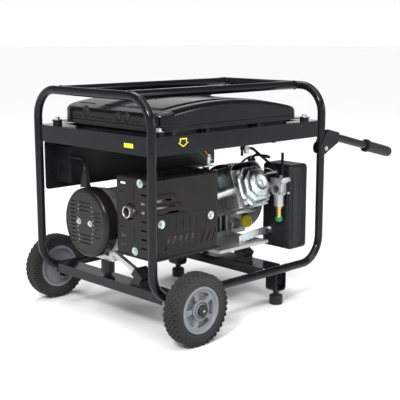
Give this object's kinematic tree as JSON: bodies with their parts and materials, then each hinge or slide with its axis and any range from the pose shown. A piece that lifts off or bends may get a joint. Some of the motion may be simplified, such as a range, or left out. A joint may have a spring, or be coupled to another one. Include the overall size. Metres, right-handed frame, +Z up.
{
  "type": "portable generator",
  "caption": "Open-frame portable generator: petrol engine, alternator, fuel tank and control panel in a tube frame with wheels, rubber feet and fold-down handles.",
  "frame": {"origin": "on the floor under the middle of the machine with its handles folded out", "axes": "+X towards the handles and feet, +Y towards the control panel, +Z up"},
  "size_m": [1.0914, 0.7156, 0.6854],
  "materials": {
    "frame_paint": "gloss powder coat",
    "tank_paint": "high gloss paint",
    "guard_paint": "satin heat resistant paint",
    "panel_paint": "satin paint",
    "zinc_plate": "bright zinc plate",
    "steel": "machined steel",
    "cast_alloy": "cast aluminium",
    "iron": "cast iron",
    "black_plastic": "moulded, fine grain",
    "cover_plastic": "semi gloss moulding",
    "grey_plastic": "moulded wheel centre",
    "tyre_rubber": "solid rubber",
    "black_rubber": "moulded rubber",
    "brass_metal": "bare brass",
    "yellow_plastic": "moulded",
    "red_plastic": "moulded",
    "dial_face": "printed dial under a clear window",
    "foam": "open cell foam",
    "windings": "varnished steel and wire"
  },
  "bodies": {
    "root": {"left_hoop": "frame_paint", "right_hoop": "frame_paint", "top_tubes": "frame_paint", "frame_rails": "frame_paint", "frame_brackets": "frame_paint", "axle_bolts": "steel", "rubber_feet": "black_rubber", "fasteners": "zinc_plate", "fuel_tank": "tank_paint", "fuel_gauge": "dial_face", "tank_bushes": "black_rubber", "fuel_valve": "cast_alloy", "fuel_hose": "black_rubber", "control_box": "panel_paint", "control_panel": "panel_paint", "power_sockets": "black_plastic", "voltmeter": "dial_face", "circuit_breaker": "black_plastic", "alternator_cover": "cover_plastic", "end_bracket": "cast_alloy", "stator": "windings", "front_bracket": "cast_alloy", "engine_block": "cast_alloy", "blower_housing": "panel_paint", "recoil_cover": "panel_paint", "cylinder_head": "cast_alloy", "valve_cover": "zinc_plate", "spark_plug": "black_rubber", "piston": "cast_alloy", "cooling_shroud": "zinc_plate", "engine_base": "cast_alloy", "rubber_mounts": "black_rubber", "carburettor": "cast_alloy", "fuel_solenoid": "brass_metal", "air_box": "black_plastic", "air_box_cover": "black_plastic", "air_filter": "foam", "muffler": "steel", "muffler_guard": "guard_paint", "air_box_strap": "zinc_plate", "conduit": "black_rubber"},
    "wheel_near": {"tyre_near": "tyre_rubber", "hub_near": "grey_plastic"},
    "wheel_far": {"tyre_far": "tyre_rubber", "hub_far": "grey_plastic"},
    "handle_near": {"handle_arm_near": "frame_paint", "handle_grip_near": "black_rubber"},
    "handle_far": {"handle_arm_far": "frame_paint", "handle_grip_far": "black_rubber"},
    "tank_cap": {"fuel_cap": "black_plastic"},
    "tap_lever": {"fuel_valve_lever": "black_plastic"},
    "breaker": {"breaker_toggle": "black_plastic"},
    "switch": {"switch_rocker": "red_plastic"},
    "rotating_group": {"rotor": "steel", "crankshaft": "steel", "flywheel": "iron"},
    "starter_grip": {"recoil_grip": "black_plastic"},
    "choke": {"choke_lever": "black_plastic"},
    "dipstick": {"oil_dipstick": "yellow_plastic"},
    "governor": {"governor_lever": "steel"}
  },
  "joints": [
    {"name": "wheel_near_spin", "type": "hinge", "parent": "root", "child": "wheel_near", "pos_m": [-0.43797, -0.325, 0.1015], "axis": [0, 1, 0], "continuous": true},
    {"name": "wheel_far_spin", "type": "hinge", "parent": "root", "child": "wheel_far", "pos_m": [-0.43797, 0.325, 0.1015], "axis": [0, 1, 0], "continuous": true},
    {"name": "handle_near_fold", "type": "hinge", "parent": "root", "child": "handle_near", "pos_m": [0.17003, -0.258, 0.4806], "axis": [0, 1, 0], "range_deg": [0, 76]},
    {"name": "handle_far_fold", "type": "hinge", "parent": "root", "child": "handle_far", "pos_m": [0.17003, 0.258, 0.4806], "axis": [0, 1, 0], "range_deg": [0, 76]},
    {"name": "fuel_cap_turn", "type": "hinge", "parent": "root", "child": "tank_cap", "pos_m": [-0.06297, 0.042, 0.653], "axis": [0, 0, 1], "range_deg": [0, 90]},
    {"name": "fuel_valve_turn", "type": "hinge", "parent": "root", "child": "tap_lever", "pos_m": [-0.02627, -0.108, 0.483], "axis": [-1, 0, 0], "range_deg": [0, 90]},
    {"name": "breaker_flip", "type": "hinge", "parent": "root", "child": "breaker", "pos_m": [-0.31097, 0.2537, 0.452], "axis": [1, 0, 0], "range_deg": [-50, 0]},
    {"name": "switch_rock", "type": "hinge", "parent": "root", "child": "switch", "pos_m": [0.08903, 0.2527, 0.452], "axis": [1, 0, 0], "range_deg": [-20, 0]},
    {"name": "crank_spin", "type": "hinge", "parent": "root", "child": "rotating_group", "pos_m": [-0.02797, 0.064, 0.29], "axis": [1, 0, 0], "continuous": true},
    {"name": "starter_pull", "type": "slide", "parent": "root", "child": "starter_grip", "axis": [0, 1, 0], "range_m": [0, 0.6], "stiffness_N_per_m": 15, "springref_m": -0.1},
    {"name": "choke_swing", "type": "hinge", "parent": "root", "child": "choke", "pos_m": [0.05503, -0.2, 0.396], "axis": [1, 0, 0], "range_deg": [0, 55]},
    {"name": "dipstick_pull", "type": "slide", "parent": "root", "child": "dipstick", "axis": [0, -0.9397, 0.342], "range_m": [0, 0.06]},
    {"name": "governor_swing", "type": "hinge", "parent": "root", "child": "governor", "pos_m": [0.05303, 0.042, 0.3924], "axis": [0, 0, 1], "range_deg": [0, 12], "stiffness_Nm_per_rad": 0.05}
  ]
}
